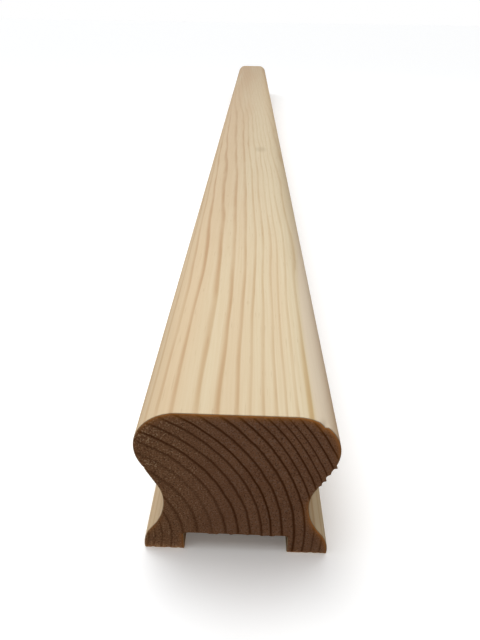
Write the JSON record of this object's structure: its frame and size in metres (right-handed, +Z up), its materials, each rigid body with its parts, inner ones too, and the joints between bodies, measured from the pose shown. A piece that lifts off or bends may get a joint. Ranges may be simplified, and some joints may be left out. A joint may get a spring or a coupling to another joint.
{
  "type": "stair handrail",
  "caption": "Length of planed softwood stair handrail with a flat rounded head, side coves for the fingers and a groove underneath for the balusters.",
  "frame": {"origin": "middle of the rail's length and width, on the plane of the two feet it lies on", "axes": "+Y along the rail, +X across it, +Z up towards the flat of the head"},
  "size_m": [0.059, 1.2, 0.057],
  "materials": {
    "softwood": "planed"
  },
  "bodies": {
    "root": {"handrail": "softwood"}
  },
  "joints": []
}
